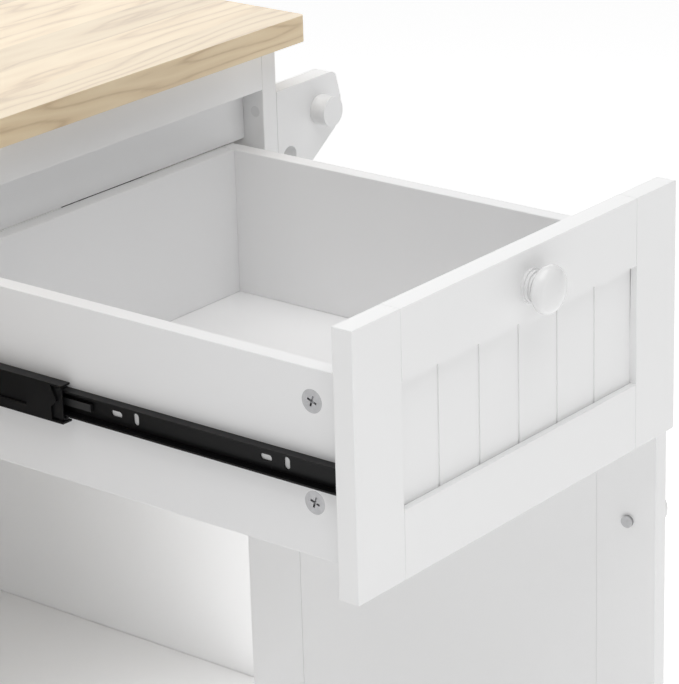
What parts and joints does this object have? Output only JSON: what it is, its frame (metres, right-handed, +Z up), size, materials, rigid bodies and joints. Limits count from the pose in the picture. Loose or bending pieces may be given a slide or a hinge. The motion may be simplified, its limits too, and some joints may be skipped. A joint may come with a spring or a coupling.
{
  "type": "kitchen island cart",
  "caption": "Kitchen island cart: wood worktop, cupboard with drawer over a framed door, open shelf bay, towel rail and swivel casters; drawer slides, door swings.",
  "frame": {"origin": "on the floor, under the centre of the bounding box with the drawer pulled out and the door open", "axes": "+Z up; the drawer and door face -Y; +X to the cart's right, where the towel rail is"},
  "size_m": [0.6984, 0.7656, 0.9],
  "materials": {
    "white_paint": "semi-gloss white paint on board",
    "white_board": "satin white foil on board",
    "gloss_white": "glossy white lacquer",
    "light_wood": "clear satin lacquer on edge-glued light hardwood",
    "zinc": "bright zinc plate",
    "black_steel": "satin black coat on steel sheet",
    "black_plastic": "satin black nylon",
    "white_steel": "white coat on steel screws",
    "white_plastic": "satin white plastic",
    "caster_steel": "bright plated steel",
    "wheel_rubber": "soft grey rubber tyre"
  },
  "bodies": {
    "cabinet": {"worktop": "light_wood", "side_panel_left": "white_paint", "side_panel_right": "white_paint", "divider_panel": "white_paint", "bottom_panel": "white_paint", "back_panel": "white_paint", "front_rail_left": "white_paint", "front_rail_right": "white_paint", "rear_rails": "white_paint", "cross_rails": "white_paint", "cupboard_shelf": "white_paint", "open_shelves": "white_paint", "shelf_pins": "zinc", "towel_bracket_front": "white_paint", "towel_bracket_rear": "white_paint", "towel_rail": "white_paint", "towel_screws": "white_steel", "slide_outer_left": "black_steel", "slide_outer_right": "black_steel", "hinge_plates": "zinc", "hardware_screws": "zinc", "door_catch": "white_plastic", "caster_plates": "zinc", "caster_screws": "zinc"},
    "slide_middle_left": {"slide_middle_left": "black_steel"},
    "slide_middle_right": {"slide_middle_right": "black_steel"},
    "drawer": {"drawer_side_left": "white_board", "drawer_side_right": "white_board", "drawer_back": "white_board", "drawer_bottom": "white_board", "drawer_stiles": "white_paint", "drawer_rails": "white_paint", "drawer_panel": "white_paint", "drawer_knob": "gloss_white", "drawer_knob_screw": "zinc", "drawer_cams": "zinc", "drawer_cam_bolts": "zinc", "drawer_back_screws": "zinc", "slide_inner_left": "black_steel", "slide_inner_right": "black_steel", "slide_inner_screws": "black_steel"},
    "release_lever_left": {"release_lever_left": "black_plastic"},
    "release_lever_right": {"release_lever_right": "black_plastic"},
    "door": {"door_stiles": "white_paint", "door_rails": "white_paint", "door_panel": "white_paint", "door_knob": "gloss_white", "door_knob_screw": "zinc", "door_bushes": "black_plastic", "door_strike": "zinc"},
    "caster_front_left": {"caster_fork_front_left": "caster_steel"},
    "wheel_front_left": {"caster_wheel_front_left": "wheel_rubber"},
    "brake_pedal_left": {"brake_pedal_left": "black_plastic"},
    "caster_front_right": {"caster_fork_front_right": "caster_steel"},
    "wheel_front_right": {"caster_wheel_front_right": "wheel_rubber"},
    "brake_pedal_right": {"brake_pedal_right": "black_plastic"},
    "caster_rear_left": {"caster_fork_rear_left": "caster_steel"},
    "wheel_rear_left": {"caster_wheel_rear_left": "wheel_rubber"},
    "caster_rear_right": {"caster_fork_rear_right": "caster_steel"},
    "wheel_rear_right": {"caster_wheel_rear_right": "wheel_rubber"}
  },
  "joints": [
    {"name": "drawer_slide", "type": "slide", "parent": "cabinet", "child": "drawer", "axis": [0, -1, 0], "range_m": [-0.346, 0.004]},
    {"name": "middle_slide_left", "type": "slide", "parent": "cabinet", "child": "slide_middle_left", "axis": [0, -1, 0], "range_m": [-0.136, 0.002]},
    {"name": "middle_slide_right", "type": "slide", "parent": "cabinet", "child": "slide_middle_right", "axis": [0, -1, 0], "range_m": [-0.136, 0.002]},
    {"name": "release_left", "type": "hinge", "parent": "drawer", "child": "release_lever_left", "pos_m": [-0.0655, -0.10319, 0.7462], "axis": [1, 0, 0], "range_deg": [-5, 5], "stiffness_Nm_per_rad": 0.02},
    {"name": "release_right", "type": "hinge", "parent": "drawer", "child": "release_lever_right", "pos_m": [0.2511, -0.10319, 0.7462], "axis": [1, 0, 0], "range_deg": [-5, 5], "stiffness_Nm_per_rad": 0.02},
    {"name": "door_hinge", "type": "hinge", "parent": "cabinet", "child": "door", "pos_m": [0.2513, -0.00925, 0.3865], "axis": [0, 0, 1], "range_deg": [-97, 13]},
    {"name": "swivel_front_left", "type": "hinge", "parent": "cabinet", "child": "caster_front_left", "pos_m": [-0.2942, 0.02675, 0.07], "axis": [0, 0, 1], "continuous": true},
    {"name": "spin_front_left", "type": "hinge", "parent": "caster_front_left", "child": "wheel_front_left", "pos_m": [-0.2942, 0.04875, 0.03], "axis": [1, 0, 0], "continuous": true},
    {"name": "brake_left", "type": "hinge", "parent": "caster_front_left", "child": "brake_pedal_left", "pos_m": [-0.2942, 0.05275, 0.0645], "axis": [1, 0, 0], "range_deg": [0, 15]},
    {"name": "swivel_front_right", "type": "hinge", "parent": "cabinet", "child": "caster_front_right", "pos_m": [0.2348, 0.02675, 0.07], "axis": [0, 0, 1], "continuous": true},
    {"name": "spin_front_right", "type": "hinge", "parent": "caster_front_right", "child": "wheel_front_right", "pos_m": [0.2348, 0.04875, 0.03], "axis": [1, 0, 0], "continuous": true},
    {"name": "brake_right", "type": "hinge", "parent": "caster_front_right", "child": "brake_pedal_right", "pos_m": [0.2348, 0.05275, 0.0645], "axis": [1, 0, 0], "range_deg": [0, 15]},
    {"name": "swivel_rear_left", "type": "hinge", "parent": "cabinet", "child": "caster_rear_left", "pos_m": [-0.2942, 0.32775, 0.07], "axis": [0, 0, 1], "continuous": true},
    {"name": "spin_rear_left", "type": "hinge", "parent": "caster_rear_left", "child": "wheel_rear_left", "pos_m": [-0.2942, 0.34975, 0.03], "axis": [1, 0, 0], "continuous": true},
    {"name": "swivel_rear_right", "type": "hinge", "parent": "cabinet", "child": "caster_rear_right", "pos_m": [0.2348, 0.32775, 0.07], "axis": [0, 0, 1], "continuous": true},
    {"name": "spin_rear_right", "type": "hinge", "parent": "caster_rear_right", "child": "wheel_rear_right", "pos_m": [0.2348, 0.34975, 0.03], "axis": [1, 0, 0], "continuous": true}
  ],
  "couplings": [
    {"joint": "middle_slide_left", "follows": "drawer_slide", "ratio": 0.39},
    {"joint": "middle_slide_right", "follows": "drawer_slide", "ratio": 0.39}
  ]
}
